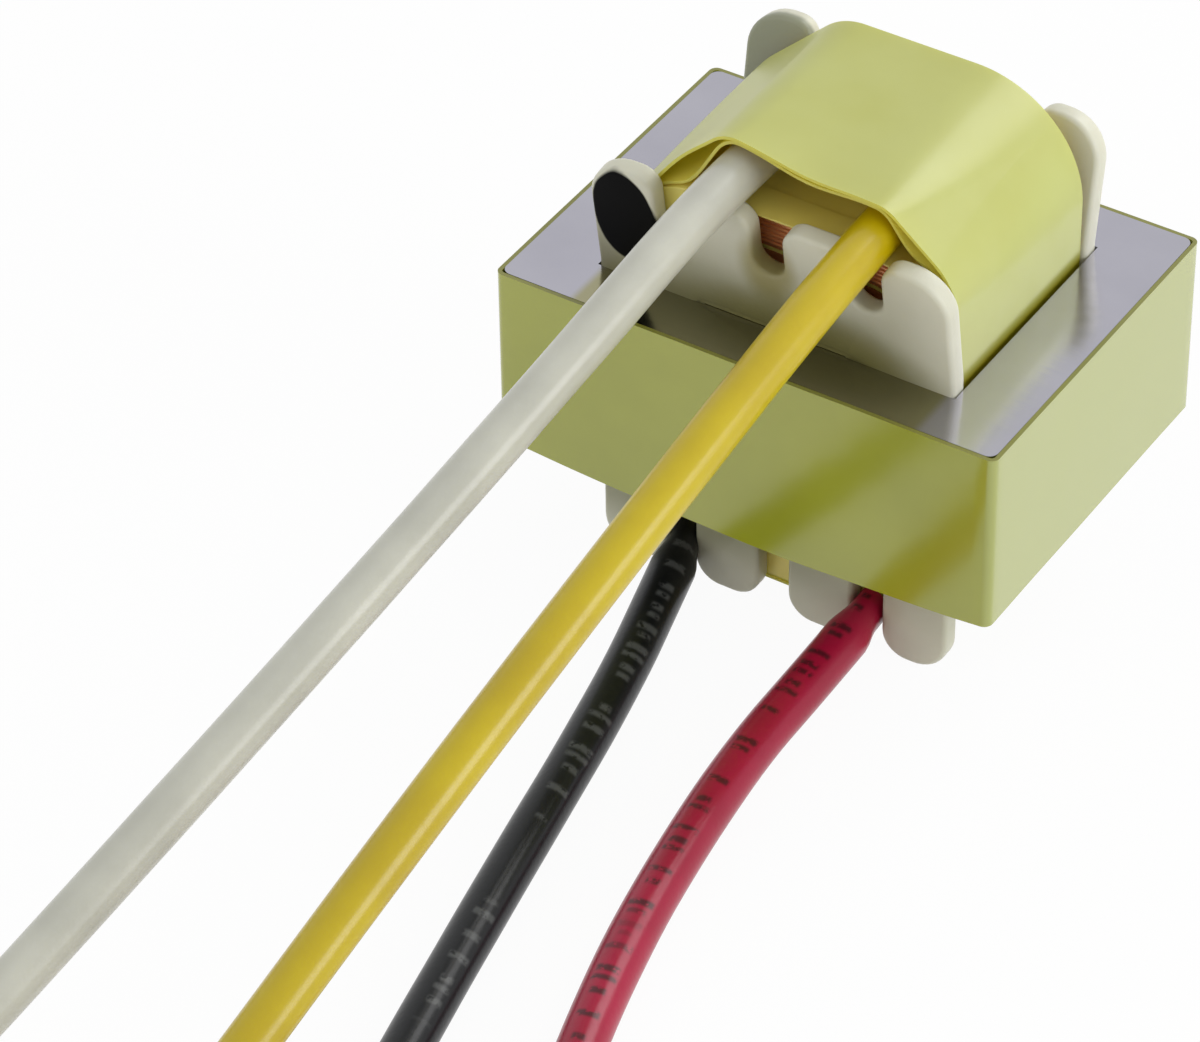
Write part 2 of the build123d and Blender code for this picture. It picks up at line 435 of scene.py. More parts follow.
# %% Rings of a lead
pinched_leads = ("black", "red")
notch_depth_place = -3.22 * MM
notch_hold = 0.34 * MM
notch_ease = 0.9 * MM
notch_squeeze = 0.68
tube_waver = 0.012
waver_scale = 420
end_rim = 0.06 * MM
bore_share = 0.36
bore_taper = 0.9


def squeeze_at(point, pinched):
    """Width of a lead as a share, narrow where two lobes pinch it."""
    if not pinched:
        return 1.0
    away = abs(point.y - notch_depth_place) - notch_hold
    ease = min(max(away / notch_ease, 0.0), 1.0)
    return notch_squeeze + (1 - notch_squeeze) * ease * ease * (3 - 2 * ease)


def tube_rings(line, pinched):
    """Rings of a lead as (middle, direction, sideways radius, upward radius), with a rim and a bore."""
    radius = lead_diameter / 2
    rings = []
    for index, middle in enumerate(line):
        before = line[max(index - 1, 0)]
        after = line[min(index + 1, len(line) - 1)]
        squeeze = squeeze_at(middle, pinched)
        waver = 1 + tube_waver * noise.noise(middle * waver_scale)
        rings.append((middle, (after - before).normalized(), radius * squeeze * waver, radius * waver))
    middle, onward, side, up = rings.pop()
    rings.append((middle - onward * end_rim, onward, side, up))
    rings.append((middle, onward, side - end_rim, up - end_rim))
    side, up = side * bore_share, up * bore_share
    rings.append((middle, onward, side, up))
    rings.append((middle - onward * end_rim * 2, onward, side * bore_taper, up * bore_taper))
    return rings


rings = {name: tube_rings(line, name in pinched_leads) for name, line in lines.items()}
print("rings", {name: len(found) for name, found in rings.items()})

# %% Lead tubes
ring_points = 32


def lead_tube(name, rings):
    """Mesh tube through rings, with a UV map of turns and metres."""
    shape = bmesh.new()
    chart = shape.loops.layers.uv.new(lead_map)
    rows = []
    travelled = []
    for index, (middle, onward, side, up) in enumerate(rings):
        sideways = onward.cross(Vector((0, 0, 1))).normalized()
        upward = sideways.cross(onward)
        row = []
        for step in range(ring_points):
            angle = 2 * math.pi * step / ring_points
            across = sideways * math.sin(angle) * side
            row.append(shape.verts.new(middle + across + upward * -math.cos(angle) * up))
        rows.append(row)
        stretch = (middle - rings[index - 1][0]).length if index else 0.0
        travelled.append(stretch + (travelled[-1] if travelled else 0.0))
    for index in range(len(rows) - 1):
        near, far = rows[index], rows[index + 1]
        for step in range(ring_points):
            beside = (step + 1) % ring_points
            face = shape.faces.new((near[step], near[beside], far[beside], far[step]))
            turns = (step, step + 1, step + 1, step)
            marks = (index, index, index + 1, index + 1)
            for loop, turn, mark in zip(face.loops, turns, marks):
                loop[chart].uv = (turn / ring_points, travelled[mark])
    shape.faces.new(reversed(rows[0]))
    shape.faces.new(rows[-1])
    bmesh.ops.recalc_face_normals(shape, faces=shape.faces)
    mesh = plain_mesh(name, shape)
    smooth(mesh, sharp_degrees=50)
    return mesh


for name in lines:
    mesh = lead_tube("insulation_" + name, rings[name])
    add_piece("insulation_" + name, mesh, insulation[name])
    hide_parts("lead_" + name)
    name + "_insulation"

# %% [markdown]
# ## Geometry Nodes as a workshop
# The stripped strands and the turns of wire are the same small shape many times over, so node trees make
# them. A tree is built in code with named inputs. One helper adds a node, and another runs the tree on an
# empty object and keeps the result as a plain mesh.

# %% Helpers for node trees


class Workshop:
    """A Geometry Nodes tree with named number inputs, built a node at a time."""

    def __init__(self, name, **defaults):
        self.tree = bpy.data.node_groups.new(name, "GeometryNodeTree")
        self.identifiers = {}
        for key, value in defaults.items():
            kind = "NodeSocketInt" if isinstance(value, int) else "NodeSocketFloat"
            socket = self.tree.interface.new_socket(key, in_out="INPUT", socket_type=kind)
            socket.default_value = value
            self.identifiers[key] = socket.identifier
        self.tree.interface.new_socket("Geometry", in_out="OUTPUT", socket_type="NodeSocketGeometry")
        self.start = self.tree.nodes.new("NodeGroupInput")
        self.end = self.tree.nodes.new("NodeGroupOutput")

    def size(self, key):
        """The socket of a named input."""
        return self.start.outputs[key]

    def node(self, kind, inputs=None, **settings):
        """Any node by its type: settings first, then values or links for its sockets."""
        made = self.tree.nodes.new(kind)
        for name, value in settings.items():
            setattr(made, name, value)
        fill_sockets(self.tree, made.inputs, inputs or {})
        return made.outputs

    def math(self, operation, *values):
        """A Math node on numbers or sockets."""
        return self.node("ShaderNodeMath", dict(enumerate(values)), operation=operation)[0]

    def circle(self, points, radius):
        """A circle as a curve."""
        return self.node("GeometryNodeCurvePrimitiveCircle", {"Resolution": points, "Radius": radius})[0]

    def finish(self, geometry, material):
        """Ends the tree: real geometry, with its material."""
        real = self.node("GeometryNodeRealizeInstances", {0: geometry})[0]
        painted = self.node("GeometryNodeSetMaterial", {0: real, "Material": material})[0]
        self.tree.links.new(painted, self.end.inputs[0])

    def make(self, name, **sizes):
        """Runs the tree on an empty mesh and returns the result as a plain mesh."""
        holder = bpy.data.objects.new(name, bpy.data.meshes.new(name + "_start"))
        bpy.context.scene.collection.objects.link(holder)
        modifier = holder.modifiers.new("shape", "NODES")
        modifier.node_group = self.tree
        for key, value in sizes.items():
            modifier[self.identifiers[key]] = value
        depsgraph = bpy.context.evaluated_depsgraph_get()
        mesh = bpy.data.meshes.new_from_object(holder.evaluated_get(depsgraph))
        mesh.name = name
        holder.modifiers.clear()
        bpy.data.objects.remove(holder)
        return mesh


print("node tree helpers ready")

# %% [markdown]
# ## Stripped ends
# Each free end shows a few millimetres of twisted strands under solder. A spiral makes one strand, six of
# them stand round a straight one, and a small circle is swept along them all. The tree makes a bundle that
# stands up, and each bundle is then laid along the end of its lead.

# %% Stripped ends
strand_bundle = 0.42 * MM
tip_length = 4.0 * MM
tip_twists = 1.6
strands_round = 6
strand_points = 10
spiral_steps = 20


def strand_tree():
    """Twisted strands standing on the origin."""
    shop = Workshop(
        "twisted_strands",
        Length=tip_length,
        Strand=strand_bundle / 6,
        Reach=strand_bundle / 3,
        Twists=tip_twists,
        Strands=strands_round,
    )
    spiral = shop.node(
        "GeometryNodeCurveSpiral",
        {
            "Resolution": spiral_steps,
            "Rotations": shop.size("Twists"),
            "Start Radius": shop.size("Reach"),
            "End Radius": shop.size("Reach"),
            "Height": shop.size("Length"),
        },
    )[0]
    places = shop.node("GeometryNodeMeshCircle", {"Vertices": shop.size("Strands"), "Radius": 0.0})[0]
    share = shop.math("DIVIDE", shop.node("GeometryNodeInputIndex")[0], shop.size("Strands"))
    turned = shop.node("ShaderNodeCombineXYZ", {"Z": shop.math("MULTIPLY", share, 2 * math.pi)})[0]
    ring = shop.node(
        "GeometryNodeInstanceOnPoints",
        {"Points": places, "Instance": spiral, "Rotation": turned},
    )[0]
    top = shop.node("ShaderNodeCombineXYZ", {"Z": shop.size("Length")})[0]
    middle = shop.node("GeometryNodeCurvePrimitiveLine", {"End": top})[0]
    bundle = shop.node("GeometryNodeJoinGeometry")[0]
    for part in (shop.node("GeometryNodeRealizeInstances", {0: ring})[0], middle):
        shop.tree.links.new(part, bundle.node.inputs[0])
    section = shop.circle(strand_points, shop.size("Strand"))
    tubes = shop.node("GeometryNodeCurveToMesh", {0: bundle, 1: section, "Fill Caps": True})[0]
    shop.finish(shop.node("GeometryNodeSetShadeSmooth", {0: tubes})[0], tinned)
    return shop


strands = strand_tree()
for name, line in lines.items():
    mesh = strands.make("strands_" + name)
    onward = (line[-1] - line[-2]).normalized()
    place = onward.to_track_quat("Z", "Y").to_matrix().to_4x4()
    place.translation = line[-1]
    mesh.transform(place)
    add_piece("strands_" + name, mesh)
    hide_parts("tip_" + name)

# %% [markdown]
# ## Outlines with rounded corners
# The tape round the coil, the flanges and the tape round the core are all drawn as an outline of a few
# corners, each with its own radius. Every corner gives the same number of points, whatever its radius. So
# two outlines with as many corners can be joined point by point, which is how the tape changes shape from
# front to back. A flat piece is a filled 2D curve with a bevel, which also rolls its edges.

# %% Rounded outlines and plates


def rounded_outline(corners, radii, arc_steps, line_steps):
    """Closed outline through corners, as points: an arc at each corner, then the run to the next one."""
    arcs = []
    for index, corner in enumerate(corners):
        here = Vector(corner)
        arriving = (here - Vector(corners[index - 1])).normalized()
        leaving = (Vector(corners[(index + 1) % len(corners)]) - here).normalized()
        turn = math.atan2(arriving.x * leaving.y - arriving.y * leaving.x, arriving.dot(leaving))
        radius = math.copysign(radii[index], turn)
        start = here - arriving * (radius * math.tan(turn / 2))
        centre = start + Vector((-arriving.y, arriving.x)) * radius
        arc = []
        for step in range(arc_steps + 1):
            angle = turn * step / arc_steps
            cosine, sine = math.cos(angle), math.sin(angle)
            spoke = start - centre
            turned = (spoke.x * cosine - spoke.y * sine, spoke.x * sine + spoke.y * cosine)
            arc.append(centre + Vector(turned))
        arcs.append(arc)
    points = []
    for index, arc in enumerate(arcs):
        points += arc
        following = arcs[(index + 1) % len(arcs)][0]
        points += [arc[-1].lerp(following, step / line_steps) for step in range(1, line_steps)]
    return points


def outline_mm(corners, radii, arc_steps, line_steps):
    """The same, from corners and radii in millimetres."""
    places = [Vector(corner) * MM for corner in corners]
    return rounded_outline(places, [radius * MM for radius in radii], arc_steps, line_steps)


def plate_mesh(name, outlines, y_low, y_high, edge):
    """Flat plate of outlines in X and Z between two depths, with rounded edges. Later ones are holes."""
    curve = bpy.data.curves.new(name, "CURVE")
    curve.dimensions = "2D"
    curve.fill_mode = "BOTH"
    curve.extrude = (y_high - y_low) / 2 - edge
    curve.bevel_depth = edge
    curve.bevel_resolution = 3
    curve.offset = -edge
    for outline in outlines:
        spline = curve.splines.new("POLY")
        spline.points.add(len(outline) - 1)
        for point, place in zip(spline.points, outline):
            point.co = (place.x, place.y, 0.0, 1.0)
        spline.use_cyclic_u = True
    mesh = curve_mesh(name, curve)
    upright = Euler((math.pi / 2, 0, 0)).to_matrix().to_4x4()
    upright.translation = (0, (y_low + y_high) / 2, 0)
    mesh.transform(upright)
    return mesh


print("outline helpers ready")

# %% [markdown]
# ## The bobbin
# The moulding is a square tube with a flange at each end, and lobes and notches along each flange. A real
# moulding has no sharp edge, so each flange is a plate with a rolled edge. The winding has pushed the upper
# lobes outwards, so the part of each flange above the core leans. The plate is first cut along a line near
# the hinge, so that the flat part stays flat.

# %% Shape of the flanges and the tube
core_bottom = 3.7 * MM
core_top = 8.95 * MM
core_middle = (core_bottom + core_top) / 2
flange_half = 5.06 * MM
flange_inner = 2.95 * MM
flange_outer = 3.53 * MM
lobe_width = 1.87 * MM
notch_width = 0.88 * MM
notch_round = 0.49 * notch_width
lobe_rise = 3.7 * MM
lobe_flat = 0.2 * MM
lower_notch_floor = 1.5 * MM
upper_notch_floor = 2.0 * MM
lower_lobe_round = 0.72 * MM
upper_lobe_round = 0.55 * MM
lobe_splay = math.radians(9.0)
hinge_cut = 0.3 * MM
hinge_start = 0.2 * MM
moulded_edge = 0.13 * MM
tube_edge = 0.01 * MM
# Corners in X and Z and their radius, in millimetres.
tube_outside = ([(-2.55, 3.15), (2.55, 3.15), (2.55, 9.5), (-2.55, 9.5)], 0.3)
tongue_hole = ([(-2.03, 3.69), (2.03, 3.69), (2.03, 8.96), (-2.03, 8.96)], 0.05)


def lobe_row(rise, floor, inner_radius):
    """Corners and radii of one row of lobes, from left to right, as steps out from the core's face."""
    corners = []
    radii = []
    outer_radius = lobe_width - inner_radius - lobe_flat
    for lobe in range(4):
        left = -flange_half + lobe * (lobe_width + notch_width)
        corners += [(left, rise), (left + lobe_width, rise)]
        radii += [outer_radius if lobe == 0 else inner_radius, outer_radius if lobe == 3 else inner_radius]
        if lobe < 3:
            corners += [(left + lobe_width, floor), (left + lobe_width + notch_width, floor)]
            radii += [notch_round] * 2
    return corners, radii


def flange_mesh(side):
    """One flange at the front (-1) or the back (+1), with a hole for the core's tongue."""
    lower, lower_radii = lobe_row(lobe_rise, lower_notch_floor, lower_lobe_round)
    upper, upper_radii = lobe_row(lobe_rise, upper_notch_floor, upper_lobe_round)
    corners = [(x, core_bottom - out) for x, out in lower]
    corners += [(x, core_top + out) for x, out in reversed(upper)]
    outline = rounded_outline(corners, lower_radii + upper_radii[::-1], arc_steps=10, line_steps=2)
    hole_corners, hole_radius = tongue_hole
    hole = outline_mm(hole_corners, [hole_radius] * 4, arc_steps=3, line_steps=2)
    depths = sorted((side * flange_inner, side * flange_outer))
    mesh = plate_mesh("flange", [outline, hole], *depths, moulded_edge)
    hinge = Vector((0, side * flange_inner, core_top))
    shape = bmesh.new()
    shape.from_mesh(mesh)
    everything = shape.verts[:] + shape.edges[:] + shape.faces[:]
    cut = hinge + Vector((0, 0, hinge_cut))
    bmesh.ops.bisect_plane(shape, geom=everything, plane_co=cut, plane_no=(0, 0, 1))
    lean = Euler((-side * lobe_splay, 0, 0)).to_matrix()
    for vertex in shape.verts:
        if vertex.co.z > hinge.z + hinge_start:
            vertex.co = hinge + lean @ (vertex.co - hinge)
    shape.to_mesh(mesh)
    shape.free()
    return mesh


def tube_mesh():
    """Square tube between the flanges."""
    outlines = []
    for corners, radius in (tube_outside, tongue_hole):
        outlines.append(outline_mm(corners, [radius] * 4, arc_steps=4, line_steps=2))
    return plate_mesh("tube", outlines, -flange_outer, flange_outer, tube_edge)


print("flange width in mm", round(2 * flange_half / MM, 2))

# %% [markdown]
# ## Natural nylon
# Natural nylon is cloudy: light enters it and comes out a little way off, which softens the shaded notches.
# Where the coil or the core stands close behind it, it looks darker, and this is painted shade: soft ovals
# and bands in the colour darken the front flange low down, the middle notch, the lower lobes and the
# rear left lobe. Real light would do that too, given the true depth of the nylon, but painted shade is
# quicker and easier to place. An ink dot marks one lobe.

# %% Nylon finish
# Ovals on the flanges: centre and reach in X and Z, in millimetres.
coil_shadow = ((1.0, 8.75), (4.2, 1.75))
notch_shadow = ((0.0, 11.0), (1.0, 1.4))
ink_dot = ((-4.1, 11.0), (0.92, 1.46))


def oval(place, centre, reach):
    """Square of the distance from a centre in X and Z, as a share of the reach along each."""
    sideways = (place.axis("X") / MM - centre[0]) / reach[0]
    upwards = (place.axis("Z") / MM - centre[1]) / reach[1]
    return sideways * sideways + upwards * upwards


def nylon_finish():
    """Cloudy nylon with painted shade on the flanges and lobes, and an ink dot on one lobe."""
    shade, shader, material = start_finish("nylon")
    place = object_place(shade)
    sideways, depth, height = [place.axis(axis) / MM for axis in "XYZ"]
    lean = (height - core_top / MM) * math.tan(lobe_splay)
    front = 1 - depth.step(0.0, 0.5)
    left = 1 - sideways.step(0.0, 1.0)
    cloud = grain(shade, place, size_mm=1.6, detail=3.0)
    pits = grain(shade, place, size_mm=0.12)
    wobble = grain(shade, place, size_mm=0.7) * 0.16 - 0.08
    # Painted shade: the lower middle of the front flange, where the coil stands close behind, is darkened.
    painted_coil_shade = front * (1 - (oval(place, *coil_shadow) + wobble).step(0.55, 0.55))
    # Painted shade: the nylon round the middle notch is darkened to olive.
    painted_notch_shade = 1 - (oval(place, *notch_shadow) + wobble).step(0.55, 0.5)
    above_core = (1 - height.step(10.5, 2.0)) * height.step(8.0, 0.1)
    low_shade = front * above_core * (1 - sideways.step(3.7, 1.2))
    # Painted shade on the lower lobes under the core, at half strength towards the right.
    below_core = height.step(1.0, 1.0) * (1 - height.step(3.9, 0.2))
    painted_under_shade = below_core * (1 - sideways.step(2.0, 2.5) * 0.5)
    # Painted shade inside the rear lobes; only the left one takes it.
    painted_rear_shade = depth.step(2.6, 0.1) * (1 - (depth - lean).step(3.2, 0.1)) * height.step(9.0, 0.3)
    body = cloud.mix(colour(220, 219, 202), colour(206, 205, 184))
    body = (painted_rear_shade * left * 0.85).mix(body, colour(128, 132, 108))
    body = (painted_notch_shade * 0.8).mix(body, colour(150, 138, 62))
    body = (painted_under_shade * 0.75).mix(body, colour(122, 122, 82))
    body = (low_shade * 0.85).mix(body, colour(88, 83, 24))
    feed(
        shader,
        Base_Color=(painted_coil_shade * 0.92).mix(body, colour(116, 111, 60)),
        Roughness=pits * 0.16 + 0.36,
        Normal=relief(shade, pits * 0.5 + cloud * 0.5, depth_mm=0.012),
        Subsurface_Weight=0.25,
        Subsurface_Radius=(0.5 * MM, 0.45 * MM, 0.35 * MM),
        Subsurface_Scale=1.0,
        Coat_Weight=0.1,
        Coat_Roughness=0.2,
    )
    black = {"Base Color": colour(10, 10, 10), "Roughness": 0.5, "Specular IOR Level": 0.04}
    ink = shade.node("BsdfPrincipled", black)
    inked = 1 - (oval(place, *ink_dot) + wobble).step(1.0, 0.07)
    inked = inked * (1 - (depth + lean).step(-3.3, 0.06))
    blend(shade, inked, Shade(shade.tree, shader.outputs[0]), ink)
    return material


nylon = nylon_finish()
print("nylon finish ready")

# %% Bobbin
merge_distance = 0.0005 * MM


def joined(name, meshes):
    """One mesh of several."""
    shape = bmesh.new()
    for mesh in meshes:
        shape.from_mesh(mesh)
    bmesh.ops.remove_doubles(shape, verts=shape.verts, dist=merge_distance)
    bmesh.ops.recalc_face_normals(shape, faces=shape.faces)
    return plain_mesh(name, shape)


moulding_mesh = joined("bobbin_moulding", [flange_mesh(-1), flange_mesh(1), tube_mesh()])
smooth(moulding_mesh, sharp_degrees=42)
moulding = add_piece("bobbin_moulding", moulding_mesh, nylon)
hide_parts("bobbin")
print(moulding.name, len(moulding_mesh.polygons), "faces")

# %% [markdown]
# ## Polyester tape
# The tape is thin, glossy yellow film with glue on its inner face. It is smooth but never quite flat, so a
# broad, shallow relief bends its reflections. The inner face is deeper in colour because the glue shows
# there, and it and the inner tape are also made lighter, as painted light in the dark hollow under the tape.
# The film round the coil lets light through, so a share of its finish is a translucent shader.

# %% Tape finishes
# Heights of the core's window, and where the core's right end starts, in millimetres.
window_low = 3.5
window_high = 9.12
right_end = 6.95


def tape_finish(name, body, deep, gloss, through=0.0, painted_window_shade=None, coat=0.3, painted_sheen=None):
    """Glossy film in two shades, with painted shade in the window and a painted sheen on the right end."""
    shade, shader, material = start_finish(name)
    place = object_place(shade)
    cloud = grain(shade, place, size_mm=3.2, detail=3.0)
    waves = grain(shade, place, size_mm=1.8, detail=1.0)
    tone = cloud.step(0.52, 0.25).mix(body, deep)
    # Painted shade on the film inside the core's window.
    if painted_window_shade:
        tone = (place.axis("Z") / MM).band(window_low, window_high, 0.3).mix(tone, painted_window_shade)
    # Painted sheen on the lit right end of the core tape.
    if painted_sheen:
        tone = (place.axis("X") / MM).step(right_end, 0.1).mix(tone, painted_sheen)
    feed(
        shader,
        Base_Color=tone,
        Roughness=cloud * 0.08 + gloss,
        Normal=relief(shade, waves, depth_mm=0.02),
        Coat_Weight=coat,
        Coat_Roughness=0.2,
    )
    glow = shade.node("BsdfTranslucent", {"Color": body})
    blend(shade, through, Shade(shade.tree, shader.outputs[0]), glow)
    return material


# The outside film takes painted shade in the core's window.
tape_outside = tape_finish(
    "coil_tape_outside",
    colour(217, 223, 138),
    colour(211, 216, 122),
    gloss=0.33,
    through=0.3,
    painted_window_shade=colour(150, 140, 20),
)
# The inside face is lighter than the outside: painted light for the hollow under the tape.
tape_inside = tape_finish(
    "coil_tape_inside", colour(248, 230, 112), colour(240, 218, 98), gloss=0.42, through=0.6
)
tape_edge = tape_finish(
    "coil_tape_edge", colour(240, 236, 120), colour(230, 224, 104), gloss=0.5, through=0.4
)
# The core tape takes a painted sheen on its right end, where the right lamp falls.
core_film = tape_finish(
    "core_tape",
    colour(162, 167, 38),
    colour(154, 159, 30),
    gloss=0.12,
    coat=0.9,
    painted_sheen=colour(165, 171, 86),
)
core_rim = tape_finish("core_tape_edge", colour(132, 132, 50), colour(124, 124, 44), gloss=0.3)
# The inner tape is made light: painted light for the hollows where it shows.
inner_film = tape_finish(
    "inner_tape", colour(250, 238, 132), colour(240, 226, 114), gloss=0.3, through=0.2
)
print("tape finishes ready")

# %% [markdown]
# ## The tape round the coil
# The outline at the front is stretched over two leads, and the outline at the rear lies on the coil. Rows
# of points run from one to the other. The front edge follows the leaning flange. Two turns of tape end
# here: the outer one is tight, and the one under it sags between the leads, droops at the left and stops a
# little short. A simulated cloth would sag too, but this edge has to meet leads and lobes at known places.

# %% Rows of the coil tape
coil_end = 2.9 * MM
tape_reach = 0.5 * MM
tape_rows = 24
tape_top = core_top + 2 * MM
rear_setback_share = 0.3
shoulder_bulge = 0.15 * MM
outer_sag = 0.16 * MM
inner_inset = 0.085 * MM
inner_setback = 0.03 * MM
inner_sag = 0.24 * MM
inner_tuck = 0.3 * MM
inner_droop = 0.75 * MM
# Places along X, each as a middle and a reach in millimetres.
right_tuck = (3.9, 0.7)
left_shoulder = (-2.7, 0.75)
between_leads = (0.8, 1.2)
left_of_leads = (-2.55, 0.7)


def coil_sections():
    """Outlines of the tape at the front and at the rear, point by point."""
    front = [(4.95, 0.33), (4.95, 12.12), (3.0, 13.74), (-1.55, 14.22), (-4.95, 10.5), (-4.95, 0.33)]
    rear = [(4.95, 0.33), (4.95, 11.9), (3.13, 13.72), (-1.95, 13.72), (-4.95, 10.9), (-4.95, 0.33)]
    front_radii = [2.87, 1.6, 0.9, 0.9, 2.6, 2.87]
    rear_radii = [2.87, 3.1, 3.1, 1.6, 3.2, 2.87]
    sections = ((front, front_radii), (rear, rear_radii))
    return [outline_mm(corners, radii, arc_steps=12, line_steps=14) for corners, radii in sections]


def front_depth(height, setback):
    """Depth of the tape's front edge at a height: along the flange, then straight up."""
    lean = max(height - core_top, 0.0) * math.tan(lobe_splay)
    return -coil_end - min(lean, tape_reach) + setback


def hump(place, middle_mm, reach_mm):
    """1 at a middle, falling away on both sides over a reach."""
    return math.exp(-(((place - middle_mm * MM) / (reach_mm * MM)) ** 2))


def coil_rows(inset, setback, sag, tuck=0.0, droop=0.0):
    """Rows from front to rear: moved inwards, sagging between the leads, tucked in right, drooping left."""
    front, rear = coil_sections()
    middle = Vector((0, core_middle))
    rear_depth = coil_end - setback * rear_setback_share
    rows = []
    for index in range(tape_rows + 1):
        share = index / tape_rows
        nearness = 1 - share
        row = []
        for near, far in zip(front, rear):
            place = near.lerp(far, 1 - nearness**2)
            pinch = hump(place.x, *right_tuck) * nearness**4
            bulge = hump(place.x, *left_shoulder) * nearness**4 * shoulder_bulge
            bulge = bulge if place.y > tape_top else 0.0
            place += (middle - place).normalized() * (inset + tuck * pinch - bulge)
            fall = sag * hump(place.x, *between_leads) + droop * hump(place.x, *left_of_leads)
            fall = fall * nearness**3 if place.y > tape_top else 0.0
            depth = front_depth(near.y, setback) * nearness + rear_depth * share
            row.append(Vector((place.x, depth, place.y - fall)))
        rows.append(row)
    return rows


outer_rows = coil_rows(0.0, 0.0, outer_sag)
inner_rows = coil_rows(inner_inset, inner_setback, inner_sag, inner_tuck, inner_droop)
print("rows", len(outer_rows), "of", len(outer_rows[0]), "points")

# %% Coil tape
tape_film = 0.08 * MM


def wrap_mesh(name, rows, thickness):
    """Closed band through rows of points, thickened inwards, with slots for outside, inside and edges."""
    shape = bmesh.new()
    count = len(rows[0])
    sheets = []
    for depth in (0.0, thickness):
        sheet = []
        for index, row in enumerate(rows):
            before = rows[max(index - 1, 0)]
            after = rows[min(index + 1, len(rows) - 1)]
            line = []
            for step, point in enumerate(row):
                around = row[(step + 1) % count] - row[step - 1]
                inwards = around.cross(after[step] - before[step]).normalized()
                line.append(shape.verts.new(point + inwards * depth))
            sheet.append(line)
        sheets.append(sheet)
    outer, inner = sheets
    for step in range(count):
        beside = (step + 1) % count
        for index in range(len(rows) - 1):
            for sheet, slot in ((outer, 0), (inner, 1)):
                near, far = sheet[index], sheet[index + 1]
                corners = (near[step], near[beside], far[beside], far[step])
                shape.faces.new(corners).material_index = slot
        for end in (0, -1):
            corners = (outer[end][step], outer[end][beside], inner[end][beside], inner[end][step])
            shape.faces.new(corners).material_index = 2
    bmesh.ops.recalc_face_normals(shape, faces=shape.faces)
    mesh = plain_mesh(name, shape)
    smooth(mesh, sharp_degrees=40)
    return mesh


outer_mesh = wrap_mesh("coil_wrap_outer", outer_rows, tape_film)
inner_mesh = wrap_mesh("coil_wrap_inner", inner_rows, tape_film)
outer_turn = add_piece("coil_wrap_outer", outer_mesh, tape_outside, tape_inside, tape_edge)
inner_turn = add_piece("coil_wrap_inner", inner_mesh, tape_edge, tape_inside, tape_edge)
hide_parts("coil_tape")
for turn in (outer_turn, inner_turn):
    print(turn.name, len(turn.data.polygons), "faces")

# %% [markdown]
# ## The tape round the core
# One turn of tape holds the stack. Its edges wander a little, and at the front it is wider than the stack
# and hangs below it. A plain extruded outline would have straight edges, so this band is skinned from rows
# of points too, by the helper that made the tape round the coil.

# %% Core tape
core_half = Vector((7.02, 5.07)) * MM
band_low = 3.75 * MM
band_high = 8.945 * MM
band_steps = 6
band_corner = 0.22 * MM
front_hang = 0.34 * MM
front_share = 0.98
edge_waver = 0.03 * MM
edge_scale = 320
top_waver_share = 0.4
film = 0.1 * MM
glue = 0.015 * MM


def band_rows():
    """Rows of points round the core from the top edge to the bottom edge."""
    half = core_half + Vector((film, film))
    corners = [(-half.x, -half.y), (half.x, -half.y), (half.x, half.y), (-half.x, half.y)]
    outline = rounded_outline(corners, [band_corner] * 4, arc_steps=6, line_steps=40)
    rows = []
    for index in range(band_steps + 1):
        share = index / band_steps
        row = []
        for place in outline:
            front = 1.0 if place.y < -half.y * front_share else 0.0
            hang = front * max(1 - (place.x / half.x) ** 2, 0.0) * front_hang
            waver = edge_waver * noise.noise(Vector((place.x, place.y, 0)) * edge_scale)
            bottom = band_low - hang + waver
            top = band_high + waver * top_waver_share
            row.append(Vector((place.x, place.y, top + (bottom - top) * share)))
        rows.append(row)
    return rows


core_mesh = wrap_mesh("core_wrap", band_rows(), film + glue)
core_wrap = add_piece("core_wrap", core_mesh, core_film, core_film, core_rim)
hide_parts("core_tape")
print(core_wrap.name, len(core_wrap.data.polygons), "faces")

# %% [markdown]
# ## Steel, copper and the tapes inside
# The other solids keep their shape and only need a finish. The sheets of the core are satin steel with
# faint rolling marks along their length, and a painted olive reflection of the bobbin on the strip in front
# of it. The windings are enamelled copper.

# %% Finishes for the solids that stay


def steel_finish():
    """Silicon steel sheet: satin, with rolling marks, dull patches and a painted reflection of the bobbin."""
    shade, shader, material = start_finish("core_steel")
    place = object_place(shade)
    rolled = grain(shade, place, size_mm=0.3, detail=3.0, stretch=(0.06, 1, 1))
    patch = grain(shade, place, size_mm=2.2, detail=3.0)
    sideways, depth = [place.axis(axis) / MM for axis in "XY"]
    # Painted reflection: the strip in front of the bobbin takes the olive of the flange.
    painted_reflection = sideways.band(-4.9, 4.9, 0.15) * (1 - depth.step(-3.3, 0.1))
    bare = patch.mix(colour(178, 177, 186), colour(164, 163, 173))
    feed(
        shader,
        Base_Color=(painted_reflection * 0.8).mix(bare, colour(150, 146, 100)),
        Roughness=rolled * 0.08 + patch * 0.06 + 0.1,
        Metallic=1.0,
        Normal=relief(shade, rolled, depth_mm=0.004),
    )
    return material


def copper_finish():
    """Enamelled copper wire."""
    shade, shader, material = start_finish("copper")
    patch = grain(shade, object_place(shade), size_mm=0.6)
    feed(
        shader,
        Base_Color=patch.mix(colour(238, 160, 106), colour(208, 130, 82)),
        Roughness=patch * 0.15 + 0.3,
        Metallic=0.45,
        Coat_Weight=0.4,
        Coat_Roughness=0.15,
    )
    return material


